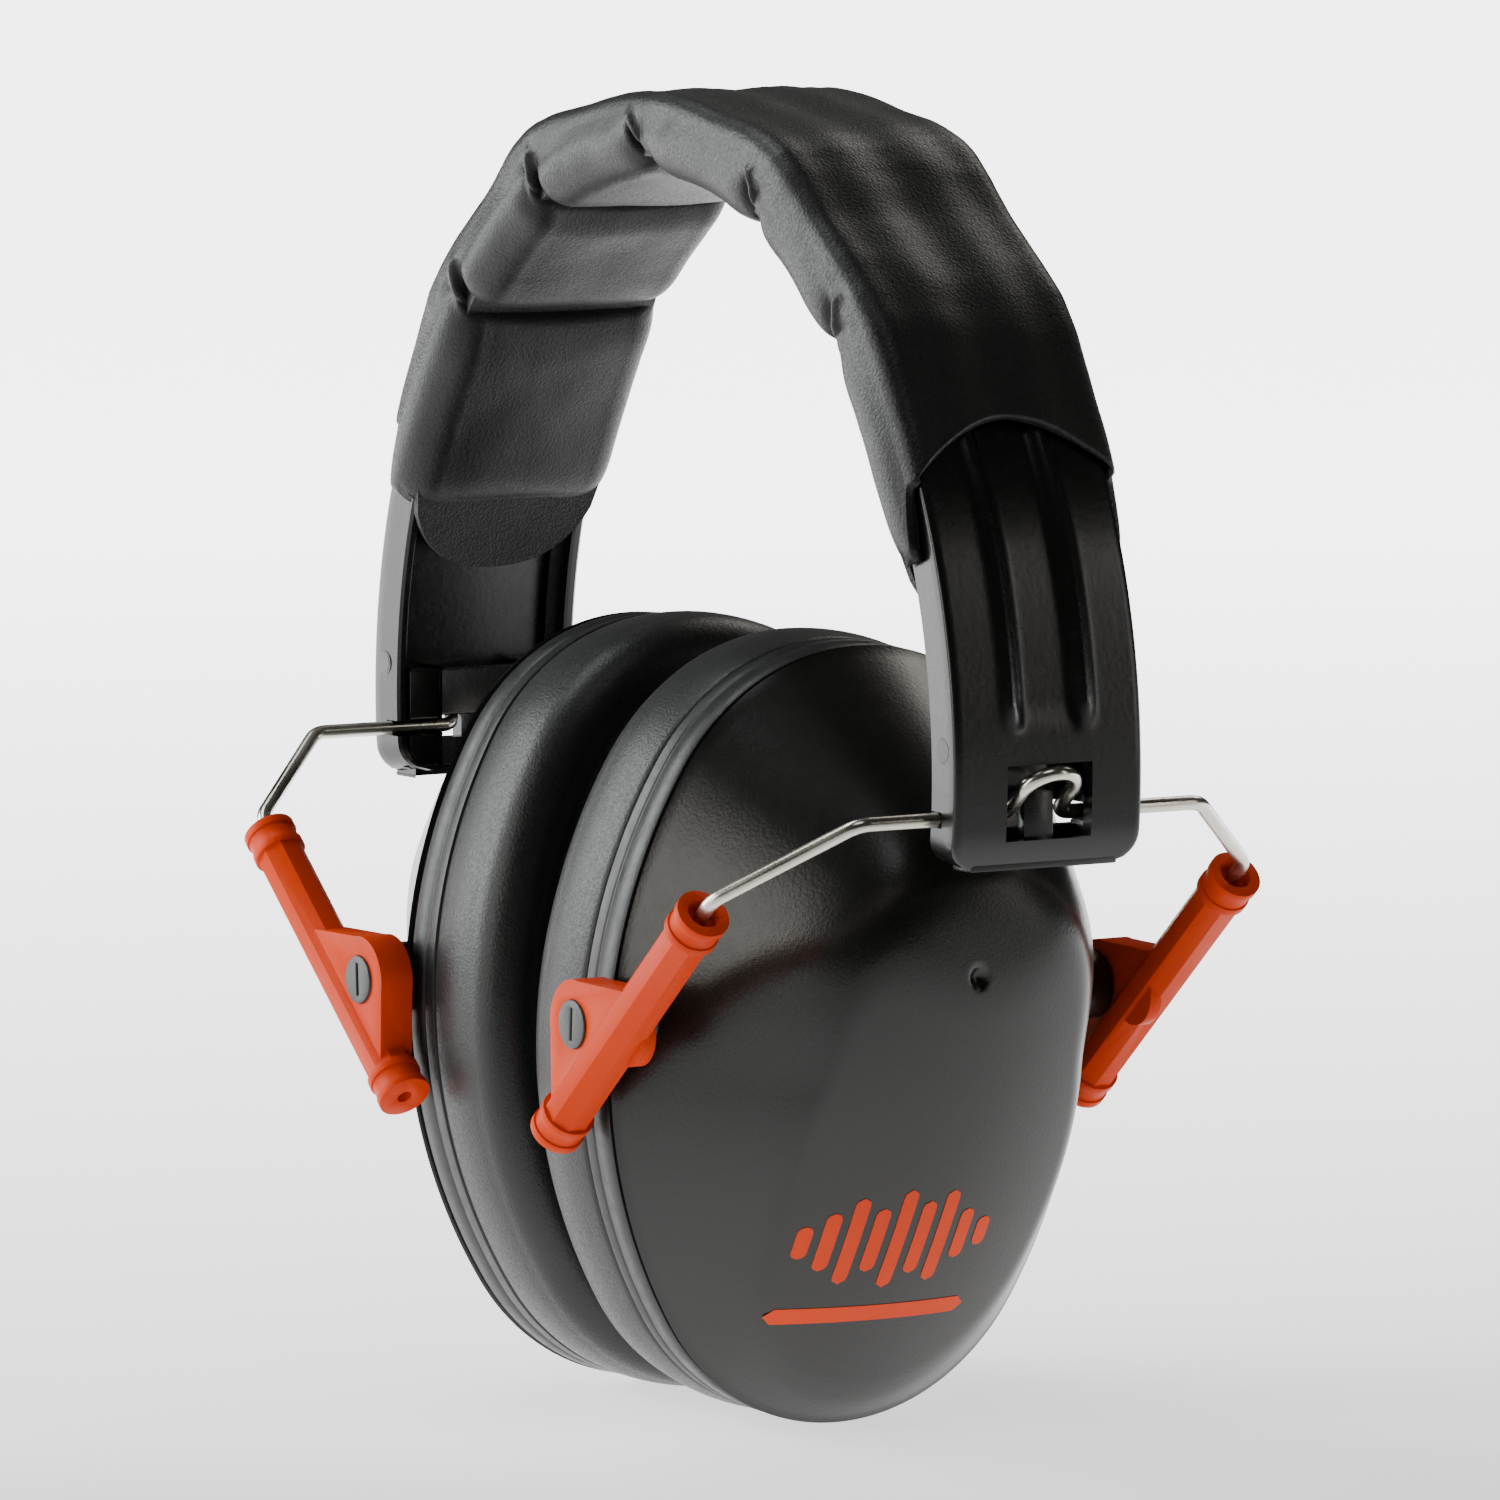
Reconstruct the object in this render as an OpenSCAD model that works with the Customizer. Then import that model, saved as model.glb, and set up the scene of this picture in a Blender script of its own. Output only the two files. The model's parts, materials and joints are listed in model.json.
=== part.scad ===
// Folding hearing protection earmuffs.
// X runs from ear to ear, Y from front (-) to back (+), Z up.
// The origin is where the crown of a head meets the middle of the headband padding.

/* [Headband] */
// Height of the crown contact above the yoke hinge axes
crown_h = 81.5; // [80:0.5:84]
// Half distance from the outer face of one band end to the other
band_half_span = 75.7; // [75:0.1:77]
// Outer radius of the top of the band
top_r = 67; // [65:0.5:69]
// Outer radius of the sides of the band
side_r = 92; // [90:1:100]
// Width of the band, front to back
band_w = 29.6; // [28:0.2:32]
// Depth of the band's channel section
band_depth = 6.5; // [6:0.1:7]
// Wall thickness of the band
band_wall = 2; // [1.6:0.1:2.2]
// Width of the window that shows the wire's kink
window_w = 13.4; // [12.6:0.2:15]

/* [Padding] */
// How far the cover stands outside the band
cover_out = 2; // [1.8:0.1:2.5]
// Width of the padded cover
cover_w = 33.6; // [33:0.2:36]
// Thickness of the leatherette
skin_t = 1; // [0.8:0.1:1]
// Thickness from the cover's outer face to the padding's inner face
padding_t = 11.5; // [11:0.5:13]

/* [Wire yokes] */
// Diameter of the spring wire
wire_d = 2; // [1.8:0.1:2.2]
// Distance of the hinge axis from the middle plane
hinge_x = 71; // [70.5:0.1:71.5]
// Lean of the fork, inwards from straight down, in degrees
fork_lean = 48.5; // [46:0.5:51]
// Half distance between the two legs of the fork
leg_y = 42.3; // [42:0.1:43]
// Half length of the straight run through the hinge
hinge_run = 27; // [25:0.5:28]
// How far down the fork the legs end
leg_end = 62; // [56:1:64]

/* [Slider arms] */
// How far down the fork the arm's tube starts
arm_start = 18; // [17.8:0.1:19]
// Length of the arm's tube
arm_len = 50; // [48:0.5:52]
// Diameter of the tube's end collars
collar_d = 7.4; // [7:0.1:8]
// Width of the faceted tube across its flats
tube_w = 6.2; // [6:0.1:6.6]
// How far down the fork the pivot pin sits
pin_s = 51.5; // [50:0.5:53]
// Distance of the pivot pin from the tube's axis
pin_offset = 6.1; // [6:0.1:7]

/* [Cups] */
// Height of the cup's oval
cup_h = 106.8; // [104:0.2:110]
// Width of the cup's oval
cup_w = 76; // [74:0.5:76.5]
// Radius of the oval's top and bottom
oval_end_r = 32; // [30:0.5:33]
// Lean of the cup, top outwards, in degrees
cup_lean = 2.8; // [0:0.1:3]
// Depth of the shell behind its rim
shell_depth = 33; // [31:0.5:34]
// Wall thickness of the shell
shell_wall = 2.5; // [2:0.1:3]
// Thickness of the ear cushion
cushion_t = 16.3; // [14:0.1:16.5]
// Width of the ear cushion's ring
cushion_w = 16; // [14:0.5:17]

/* [Hidden] */
$fn = 64;
SIDES = ["right", "left"];

// fits
running_gap = 0.05;
clear_gap = 0.3;
wire_r = wire_d / 2;

// arch: a top arc and two side arcs that meet on a common tangent,
// angles are counted from straight up
arch_turn = asin((side_r - band_half_span) / (side_r - top_r));
top_cz = crown_h - top_r + padding_t - cover_out;
side_cx = -(side_r - top_r) * sin(arch_turn);
side_cz = top_cz - (side_r - top_r) * cos(arch_turn);
band_bottom = -7;
band_end = acos((band_bottom - side_cz) / side_r);
arch_step = 1.5;
rib_end = 86;
end_wall_turn = 1.3;
band_corner_r = 4;
window_low = -3;
window_high = 7;

// padding, as angles along the arch
creases = [0, 28, 49, 69];
crease_half = 0.7;
crease_in = 1;
crease_spread = 0.8;
cover_end = 65;
cover_end_in = 71;
liner_end = 78;
liner_step = 70.2;
liner_t = 1.2;
liner_in = 4.4;
pad_gap = 0.15;

// fork of wire, in its own plane: s runs down the legs from the hinge axis
bend_r = 4;
kink_half = 4;
kink_out = 9;
kink_bend_r = 2;
leg_bend_s = leg_y - hinge_run;

// pivot pins
pin_head_r = 3.3;
pin_shank_r = 2;
pin_face_y = 45;
pin_head_t = 3.6;
pin_in_y = 34;
arm_in_y = 39.6;
eye_r = 6;
eye_face_y = 44.6;
boss_r = 4.8;
boss_face_y = 39.3;
pin_x = hinge_x - pin_s * sin(fork_lean) - pin_offset * cos(fork_lean);
pin_z = -pin_s * cos(fork_lean) + pin_offset * sin(fork_lean);

// cup, from its pivot axis: x runs outwards
cup_drop = 4.8;
rim_x = -1.2;
plate_x = -8.7;
groove_in = 1.2;
oval_c = cup_h / 2 - oval_end_r;
oval_narrow = cup_w / 2 - oval_end_r;
side_c = (oval_c * oval_c - oval_narrow * oval_narrow) / (2 * oval_narrow);
oval_side_r = cup_w / 2 + side_c;
oval_turn = atan2(oval_c, side_c);
disc_top = [31.4, 4];
disc_slope = 0.5;
disc_bulge = 4;
disc_half = [21, 31];
dome_slope = 1.76;
dome_fuller = 0.6;
dome_fuller_z = [-8, 16];
dome_soft = 5;
dome_steps = [1, 0.9, 0.8, 0.7, 0.6, 0.5, 0.4, 0.28, 0.14];
oval_steps = 13;
ear_in = cushion_w + 1;

// ---------- placing ----------

module placed() {
    translate([0, 0, -crown_h])
        children();
}

// a right-hand piece, or its mirror image on the left
module on_side(side) {
    mirror([side == "left" ? 1 : 0, 0, 0])
        children();
}

// fork frame: x runs down the legs, z away from the pivot pins
module in_fork(side) {
    placed()
        on_side(side)
            translate([hinge_x, 0, 0])
                rotate([0, 90 + fork_lean, 0])
                    children();
}

// cup frame: origin in the middle of the pivot axis, x outwards
module in_cup(side) {
    placed()
        on_side(side)
            translate([pin_x, 0, pin_z])
                rotate([0, cup_lean, 0])
                    children();
}

module both_halves() {
    for (side = SIDES)
        on_side(side)
            children();
}

module along_y(y0, y1, r) {
    translate([0, y0, 0])
        rotate([-90, 0, 0])
            cylinder(h = y1 - y0, r = r);
}

// ---------- arch ----------

// point on the arch at angle a from straight up, d outside the band's outer face
function arch_point(a, d) =
    abs(a) <= arch_turn
    ? [(top_r + d) * sin(a), top_cz + (top_r + d) * cos(a)]
    : [sign(a) * (side_cx + (side_r + d) * sin(abs(a))), side_cz + (side_r + d) * cos(a)];

function arch_line(a0, a1, d) =
    let (steps = ceil((a1 - a0) / arch_step))
    [for (i = [0 : steps]) arch_point(a0 + (a1 - a0) * i / steps, d)];

function backwards(list) = [for (i = [len(list) - 1 : -1 : 0]) list[i]];

// a strip of the arch between two outlines, w wide from front to back
module across(w, y = 0) {
    translate([0, y + w / 2, 0])
        rotate([90, 0, 0])
            linear_extrude(w)
                children();
}

module arch_strip(a0, a1, d0, d1) {
    polygon(concat(arch_line(a0, a1, d1), backwards(arch_line(a0, a1, d0))));
}

// the tongue that stands inside the wire's kink and keeps the wire in its notches
module wire_catch() {
    catch_w = 4;
    catch_t = 1.8;
    catch_top = 3.5;
    foot_h = 3.5;
    foot_t = catch_t + 0.8;
    catch_low = band_bottom + 0.5;
    translate([band_half_span - band_wall - catch_t - clear_gap, -catch_w / 2, catch_low]) {
        cube([catch_t, catch_w, catch_top - catch_low]);
        cube([foot_t, catch_w, foot_h]);
    }
}

module band_corner_cut() {
    for (s = [-1, 1])
        translate([hinge_x, s * (band_w / 2 - band_corner_r), band_bottom + band_corner_r])
            difference() {
                translate([-10, s > 0 ? 0 : -2 * band_corner_r, -2 * band_corner_r])
                    cube([20, 2 * band_corner_r, 2 * band_corner_r]);
                translate([-11, 0, 0])
                    rotate([0, 90, 0])
                        cylinder(h = 22, r = band_corner_r);
            }
}

module hinge_notches() {
    lip_gap = 0.8 * wire_d;
    notch_in = 4;
    translate([hinge_x, 0, 0]) {
        along_y(-band_w, band_w, wire_r + running_gap);
        translate([-notch_in, -band_w, -lip_gap / 2])
            cube([notch_in, 2 * band_w, lip_gap]);
    }
}

module band_window() {
    translate([hinge_x + 1, -window_w / 2, window_low])
        cube([10, window_w, window_high - window_low]);
}

// blocks beside the window that carry the wire's straight run
module bearing_blocks() {
    block_y = window_w / 2 + 0.6;
    block_in = 1.6;
    block_out = 3.2;
    block_low = -5.6;
    block_high = 8.2;
    for (s = [-1, 1])
        mirror([0, s > 0 ? 0 : 1, 0])
            translate([hinge_x - block_in, block_y, block_low])
                cube([block_in + block_out, (band_w - band_wall) / 2 - block_y,
                      block_high - block_low]);
}

module band_channel() {
    rib_y = 5;
    rib_w = 2;
    rib_h = 0.5;
    difference() {
        across(band_w)
            arch_strip(-band_end, band_end, -band_depth, 0);
        across(band_w - 2 * band_wall)
            arch_strip(end_wall_turn - band_end, band_end - end_wall_turn,
                       -band_depth - 1, -band_wall);
    }
    for (s = [-1, 1])
        across(rib_w, s * rib_y)
            arch_strip(-rib_end, rib_end, -band_wall / 2, rib_h);
}

module headband_band() {
    color([0.05, 0.05, 0.055])
        placed() {
            difference() {
                union() {
                    band_channel();
                    both_halves()
                        bearing_blocks();
                }
                both_halves() {
                    band_window();
                    hinge_notches();
                    band_corner_cut();
                }
            }
            both_halves()
                wire_catch();
        }
}

// ---------- padding ----------

// how much thinner the padding is at angle a, where a pleat draws it in
function pleat(a) =
    let (off = min([for (c = creases) abs(abs(a) - c)]))
    crease_in * exp(-off * off / (2 * crease_spread * crease_spread));

function padding_line(a0, a1, d) =
    let (steps = ceil((a1 - a0) / arch_step))
    [for (i = [0 : steps])
        let (a = a0 + (a1 - a0) * i / steps)
        arch_point(a, d + pleat(a))];

// outline of the sleeve, shrunk by inset and lengthened by more at each end
module sleeve_outline(inset, more) {
    out_end = cover_end + more;
    in_end = cover_end_in + more;
    polygon(concat(
        arch_line(-out_end, out_end, cover_out - inset),
        backwards(padding_line(-in_end, in_end, cover_out - padding_t + inset))
    ));
}

// the sleeve ends on a slant, so that its inner face reaches further down
module headband_cover() {
    color([0.13, 0.13, 0.14])
        placed()
            difference() {
                across(cover_w)
                    sleeve_outline(0, 0);
                across(cover_w - 2 * skin_t)
                    sleeve_outline(skin_t, 1);
            }
}

// the strip between the pads and the band: past the pads it steps inwards,
// and a tongue lies over the band's edges
module headband_liner() {
    liner_w = band_w - 2 * band_wall - 2 * clear_gap;
    step_turn = 1.5;
    tongue_w = band_w + 1;
    tongue_out = -band_depth - clear_gap;
    tip_turn = 3;
    tip_w = 0.6 * tongue_w;
    strip_end = liner_step + step_turn;
    color([0.1, 0.1, 0.1])
        placed() {
            across(liner_w)
                arch_strip(-strip_end, strip_end, -liner_in, liner_t - liner_in);
            both_halves() {
                across(liner_w)
                    arch_strip(liner_step, strip_end, tongue_out - liner_t, -liner_in + liner_t / 2);
                across(tongue_w)
                    arch_strip(liner_step, liner_end - tip_turn, tongue_out - liner_t, tongue_out);
                across(tip_w)
                    arch_strip(strip_end, liner_end, tongue_out - liner_t, tongue_out);
            }
        }
}

// one foam pad: it fills the channel below the liner and laps over the band's edges
module foam_pad(a0, a1) {
    foam_in = cover_out - padding_t + skin_t + crease_in + pad_gap;
    across(band_w - 2 * band_wall - 2 * clear_gap)
        arch_strip(a0, a1, foam_in, -liner_in - pad_gap);
    across(cover_w - 2 * skin_t - 2 * pad_gap)
        arch_strip(a0, a1, foam_in, -band_depth - pad_gap);
}

// pads 1 to 6 run from the left end of the cover to the right end
module headband_pad(number) {
    ends = [for (c = backwards(creases)) -c];
    stops = concat(ends, [for (i = [1 : len(creases) - 1]) creases[i]]);
    color([0.3, 0.3, 0.32])
        placed()
            foam_pad(stops[number - 1] + crease_half, stops[number] - crease_half);
}

// ---------- wire yoke ----------

// points of an arc in the fork's plane, from angle a0 to a1
function bend_points(s, y, r, a0, a1) =
    let (steps = ceil(abs(a1 - a0) / 15))
    [for (i = [0 : steps])
        let (a = a0 + (a1 - a0) * i / steps)
        [s + r * cos(a), y + r * sin(a)]];

// the +Y half of the wire's middle line, from the top of the kink to the leg's end
function half_route() =
    let (trim = bend_r * tan(22.5))
    concat(
        bend_points(kink_half - kink_out, 0, kink_half, 180, 90),
        bend_points(-kink_bend_r, kink_half + kink_bend_r, kink_bend_r, -90, 0),
        bend_points(bend_r, hinge_run - trim, bend_r, 180, 135),
        bend_points(leg_bend_s + trim, leg_y - bend_r, bend_r, 135, 90),
        [[leg_end, leg_y]]
    );

function unit(v) = v / norm(v);

// a round wire of radius r along a route in the plane z = 0
module wire_tube(route, r, sides) {
    last = len(route) - 1;
    along = [for (i = [0 : last])
        unit(route[min(i + 1, last)] - route[max(i - 1, 0)])];
    rings = [for (i = [0 : last])
        for (k = [0 : sides - 1])
            let (b = 360 * k / sides)
            [route[i].x - along[i].y * r * cos(b), route[i].y + along[i].x * r * cos(b), r * sin(b)]];
    walls = [for (i = [0 : last - 1])
        for (k = [0 : sides - 1])
            let (n = (k + 1) % sides, a = i * sides, b = a + sides)
            each [[a + k, a + n, b + n], [a + k, b + n, b + k]]];
    polyhedron(rings, concat(
        walls,
        [[for (k = [sides - 1 : -1 : 0]) k]],
        [[for (k = [0 : sides - 1]) last * sides + k]]
    ));
}

module wire_yoke(side) {
    color([0.75, 0.72, 0.66])
        in_fork(side) {
            half = half_route();
            front = [for (i = [len(half) - 1 : -1 : 1]) [half[i].x, -half[i].y]];
            wire_tube(concat(front, half), wire_r, 16);
        }
}

// ---------- slider arm ----------

module along_s(s0, s1, r) {
    translate([s0, 0, 0])
        rotate([0, 90, 0])
            cylinder(h = s1 - s0, r = r);
}

// straight-sided web between two round bosses that stand on the y axis
module web(s0, z0, r0, s1, z1, r1, y0, y1) {
    run = norm([s1 - s0, z1 - z0]);
    lean = atan2(z1 - z0, s1 - s0);
    wrap = acos((r0 - r1) / run);
    translate([0, y1, 0])
        rotate([90, 0, 0])
            linear_extrude(y1 - y0)
                polygon([
                    [s0 + r0 * cos(lean + wrap), z0 + r0 * sin(lean + wrap)],
                    [s0 + r0 * cos(lean - wrap), z0 + r0 * sin(lean - wrap)],
                    [s1 + r1 * cos(lean - wrap), z1 + r1 * sin(lean - wrap)],
                    [s1 + r1 * cos(lean + wrap), z1 + r1 * sin(lean + wrap)]
                ]);
}

// the arm on the +Y side
module arm_body() {
    arm_end = arm_start + arm_len;
    collar_len = 4.5;
    ring_len = 1.2;
    ring_step = 0.25;
    taper_r = 1.6;
    taper_up = 12;
    taper_down = 10;
    rear_s = pin_s - 6;
    rear_r = 4.4;
    rear_y = 41.4;
    web_in = 0.1;
    translate([0, leg_y, 0]) {
        translate([arm_start, 0, 0])
            rotate([0, 90, 0])
                rotate([0, 0, 22.5])
                    cylinder(h = arm_len, r = tube_w / 2 / cos(22.5), $fn = 8);
        along_s(arm_start, arm_start + collar_len, collar_d / 2 - ring_step);
        along_s(arm_end - collar_len, arm_end, collar_d / 2 - ring_step);
        for (s = [arm_start, arm_start + collar_len - ring_len,
                  arm_end - collar_len, arm_end - ring_len])
            along_s(s, s + ring_len, collar_d / 2);
    }
    translate([pin_s, 0, -pin_offset])
        along_y(arm_in_y, eye_face_y, eye_r);
    for (end_s = [pin_s - taper_up, pin_s + taper_down])
        web(pin_s, -pin_offset, eye_r - web_in, end_s, -1, taper_r, arm_in_y, eye_face_y);
    translate([rear_s, 0, 0])
        along_y(arm_in_y, rear_y, rear_r);
}

module arm_bores() {
    mouth_r = 2.2;
    mouth_len = 2;
    translate([0, leg_y, 0]) {
        along_s(arm_start - 1, arm_start + arm_len + 1, wire_r + running_gap);
        along_s(arm_start - 1, arm_start + mouth_len, mouth_r);
    }
    translate([pin_s, 0, -pin_offset]) {
        along_y(arm_in_y - 1, pin_face_y + 1, pin_shank_r + running_gap);
        along_y(pin_face_y - pin_head_t - running_gap, pin_face_y + 1, pin_head_r + running_gap);
    }
}

module slider_arm(side, end) {
    color([0.94, 0.36, 0.1])
        in_fork(side)
            mirror([0, end == "front" ? 1 : 0, 0])
                difference() {
                    arm_body();
                    arm_bores();
                }
}

// ---------- pivot pin ----------

module pivot_pin(side, end) {
    slit_w = 0.5;
    slit_len = 4.4;
    slit_depth = 0.6;
    color([0.25, 0.26, 0.27])
        in_cup(side)
            mirror([0, end == "front" ? 1 : 0, 0])
                difference() {
                    union() {
                        along_y(pin_in_y + clear_gap, pin_face_y - 1, pin_shank_r);
                        along_y(pin_face_y - pin_head_t, pin_face_y, pin_head_r);
                    }
                    translate([-slit_w / 2, pin_face_y - slit_depth, -slit_len / 2])
                        cube([slit_w, 2 * slit_depth, slit_len]);
                }
}

// ---------- cup ----------

// the oval's four arcs: centre y, centre z, radius, first angle, last angle
OVAL_ARCS = [
    [-side_c, 0, oval_side_r, -oval_turn, oval_turn],
    [0, oval_c, oval_end_r, oval_turn, 180 - oval_turn],
    [side_c, 0, oval_side_r, 180 - oval_turn, 180 + oval_turn],
    [0, -oval_c, oval_end_r, 180 + oval_turn, 360 - oval_turn]
];

// points [y, z] of the oval, grown outwards by u
function oval(u) = [
    for (arc = OVAL_ARCS)
        for (i = [0 : oval_steps - 1])
            let (a = arc[3] + (arc[4] - arc[3]) * i / oval_steps, r = arc[2] + u)
            [arc[0] + r * cos(a), arc[1] + r * sin(a)]
];

module oval_block(u, x0, x1) {
    translate([x0, 0, -cup_drop])
        rotate([90, 0, 90])
            linear_extrude(x1 - x0)
                polygon(oval(u));
}

// triangles between each of m rings of n points and the next one
function ring_walls(n, m, closed) = [
    for (i = [0 : (closed ? m : m - 1) - 1])
        for (k = [0 : n - 1])
            let (k1 = (k + 1) % n, a = i * n, b = ((i + 1) % m) * n)
            each [[a + k, a + k1, b + k1], [a + k, b + k1, b + k]]
];

// closed tube through rings of equal length, each ring a list of [x, y, z]
module ring_loft(rings) {
    translate([0, 0, -cup_drop])
        polyhedron([for (ring = rings) each ring], ring_walls(len(rings[0]), len(rings), true));
}

// body through rings of equal length, closed by a fan round a point at each end
module capped_loft(rings, first, last) {
    n = len(rings[0]);
    m = len(rings);
    fans = [for (k = [0 : n - 1])
        let (k1 = (k + 1) % n)
        each [[n * m, k1, k], [n * m + 1, (m - 1) * n + k, (m - 1) * n + k1]]];
    translate([0, 0, -cup_drop])
        polyhedron(concat([for (ring = rings) each ring], [first, last]),
                   concat(ring_walls(n, m, false), fans));
}

// turns a closed section [u, x] round the oval
module round_oval(points) {
    ring_loft([for (p = points) [for (q = oval(p[0])) [p[1], q[0], q[1]]]]);
}

// slope of the dome's sides, which are fuller above the pivot pins
function dome_side(z) =
    let (up = (z - dome_fuller_z[0]) / (dome_fuller_z[1] - dome_fuller_z[0]),
         share = min(1, max(0, up)))
    dome_slope + dome_fuller * share * share * (3 - 2 * share);

// height of the dome above the rim: conical sides that turn over softly to a flat top
function dome_height(q, z, depth) =
    let (sides = dome_side(z) * depth * (1 - q))
    dome_soft * (ln(1 + exp(-depth / dome_soft))
                 - ln(exp(-sides / dome_soft) + exp(-depth / dome_soft)));

// the gently domed disc that slants across the lower half of the dome
function disc_x(y, z) =
    let (down = (z - disc_top[1] + disc_half[1]) / disc_half[1], across = y / disc_half[0])
    disc_top[0] + disc_slope * (z - disc_top[1]) + disc_bulge * (1 - across * across - down * down);

// point of the dome over [y, z], at the share q of the way from its middle to its rim
function dome_point(p, q, inset) =
    [min(rim_x + dome_height(q, p[1] - cup_drop, shell_depth - inset),
         disc_x(p[0], p[1] - cup_drop) - inset * norm([1, disc_slope])),
     p[0], p[1]];

function dome_rings(inset) = [
    for (q = dome_steps)
        [for (p = oval(-inset)) dome_point(p * q, q, inset)]
];

module cup_shell(side) {
    color([0.12, 0.12, 0.12])
        in_cup(side)
            difference() {
                union() {
                    capped_loft(concat(backwards(dome_rings(0)), dome_rings(shell_wall)),
                                dome_point([0, 0], 0, 0), dome_point([0, 0], 0, shell_wall));
                    pin_boss(1);
                    pin_boss(-1);
                }
                pin_bores();
            }
}

// boss on the shell's wall that holds a pivot pin, cut flat level with the rim
module pin_boss(s) {
    mirror([0, s > 0 ? 0 : 1, 0])
        intersection() {
            along_y(pin_in_y - 2, boss_face_y, boss_r);
            translate([rim_x + clear_gap, 0, -2 * boss_r])
                cube([2 * boss_r, 2 * boss_face_y, 4 * boss_r]);
        }
}

module pin_bores() {
    for (s = [-1, 1])
        mirror([0, s > 0 ? 0 : 1, 0])
            along_y(pin_in_y, boss_face_y + 1, pin_shank_r + running_gap);
}

// the plate that closes the shell and carries the ear cushion
module cushion_plate(side) {
    lip_in = shell_wall + 1.5;
    lip_t = 1.8;
    lip_up = 1.2;
    groove_w = 1;
    color([0.13, 0.13, 0.13])
        in_cup(side)
            difference() {
                union() {
                    oval_block(0, plate_x, rim_x - groove_w);
                    oval_block(-groove_in, rim_x - groove_w, rim_x);
                    oval_block(-lip_in, rim_x, rim_x + lip_up);
                }
                oval_block(-ear_in, plate_x - 1, rim_x - 3);
                oval_block(-lip_in - lip_t, rim_x - 3.5, rim_x + lip_up + 1);
                for (s = [-1, 1])
                    mirror([0, s > 0 ? 0 : 1, 0])
                        along_y(pin_in_y - 3, boss_face_y + 1, boss_r + 0.2);
            }
}

// section of the cushion, shrunk on its three free sides by inset
function cushion_section(inset) =
    let (
        outer_r = 6 - inset,
        inner_r = 7 - inset,
        face = plate_x - cushion_t + inset,
        edge = -inset,
        hole = -cushion_w + inset
    )
    concat(
        [[edge, plate_x]],
        [for (a = [0 : 22.5 : 90]) [edge - outer_r * (1 - cos(a)), face + outer_r * (1 - sin(a))]],
        [for (a = [90 : -22.5 : 0]) [hole + inner_r * (1 - cos(a)), face + inner_r * (1 - sin(a))]],
        [[hole, plate_x]]
    );

module ear_cushion(side) {
    color([0.17, 0.18, 0.19])
        in_cup(side)
            round_oval(backwards(concat(cushion_section(0), backwards(cushion_section(skin_t)))));
}

module cushion_foam(side) {
    color([0.35, 0.35, 0.37])
        in_cup(side)
            round_oval(backwards(cushion_section(skin_t)));
}

// sound absorbing foam that fills the shell above the plate's lip
module cup_foam(side) {
    foam_inset = shell_wall + 0.5;
    foam_up = 2;
    boss_gap = 1;
    color([0.22, 0.22, 0.24])
        in_cup(side)
            difference() {
                capped_loft(backwards(dome_rings(foam_inset)),
                            dome_point([0, 0], 0, foam_inset), [rim_x, 0, 0]);
                oval_block(cup_w, rim_x - foam_up, rim_x + foam_up);
                along_y(pin_in_y - 2 - boss_gap, cup_w, boss_r + boss_gap);
                along_y(-cup_w, 2 + boss_gap - pin_in_y, boss_r + boss_gap);
            }
}

headband_band();
headband_cover();
headband_liner();
headband_pad(1);  // headband_pad_1
headband_pad(2);  // headband_pad_2
headband_pad(3);  // headband_pad_3
headband_pad(4);  // headband_pad_4
headband_pad(5);  // headband_pad_5
headband_pad(6);  // headband_pad_6
wire_yoke("right");  // wire_yoke_right
slider_arm("right", "front");  // slider_arm_right_front
slider_arm("right", "rear");  // slider_arm_right_rear
pivot_pin("right", "front");  // pivot_pin_right_front
pivot_pin("right", "rear");  // pivot_pin_right_rear
cup_shell("right");  // cup_shell_right
cushion_plate("right");  // cushion_plate_right
ear_cushion("right");  // ear_cushion_right
cushion_foam("right");  // cushion_foam_right
cup_foam("right");  // cup_foam_right
wire_yoke("left");  // wire_yoke_left
slider_arm("left", "front");  // slider_arm_left_front
slider_arm("left", "rear");  // slider_arm_left_rear
pivot_pin("left", "front");  // pivot_pin_left_front
pivot_pin("left", "rear");  // pivot_pin_left_rear
cup_shell("left");  // cup_shell_left
cushion_plate("left");  // cushion_plate_left
ear_cushion("left");  // ear_cushion_left
cushion_foam("left");  // cushion_foam_left
cup_foam("left");  // cup_foam_left
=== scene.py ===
import json
import math

import bmesh
import bpy
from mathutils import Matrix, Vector, noise


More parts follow.
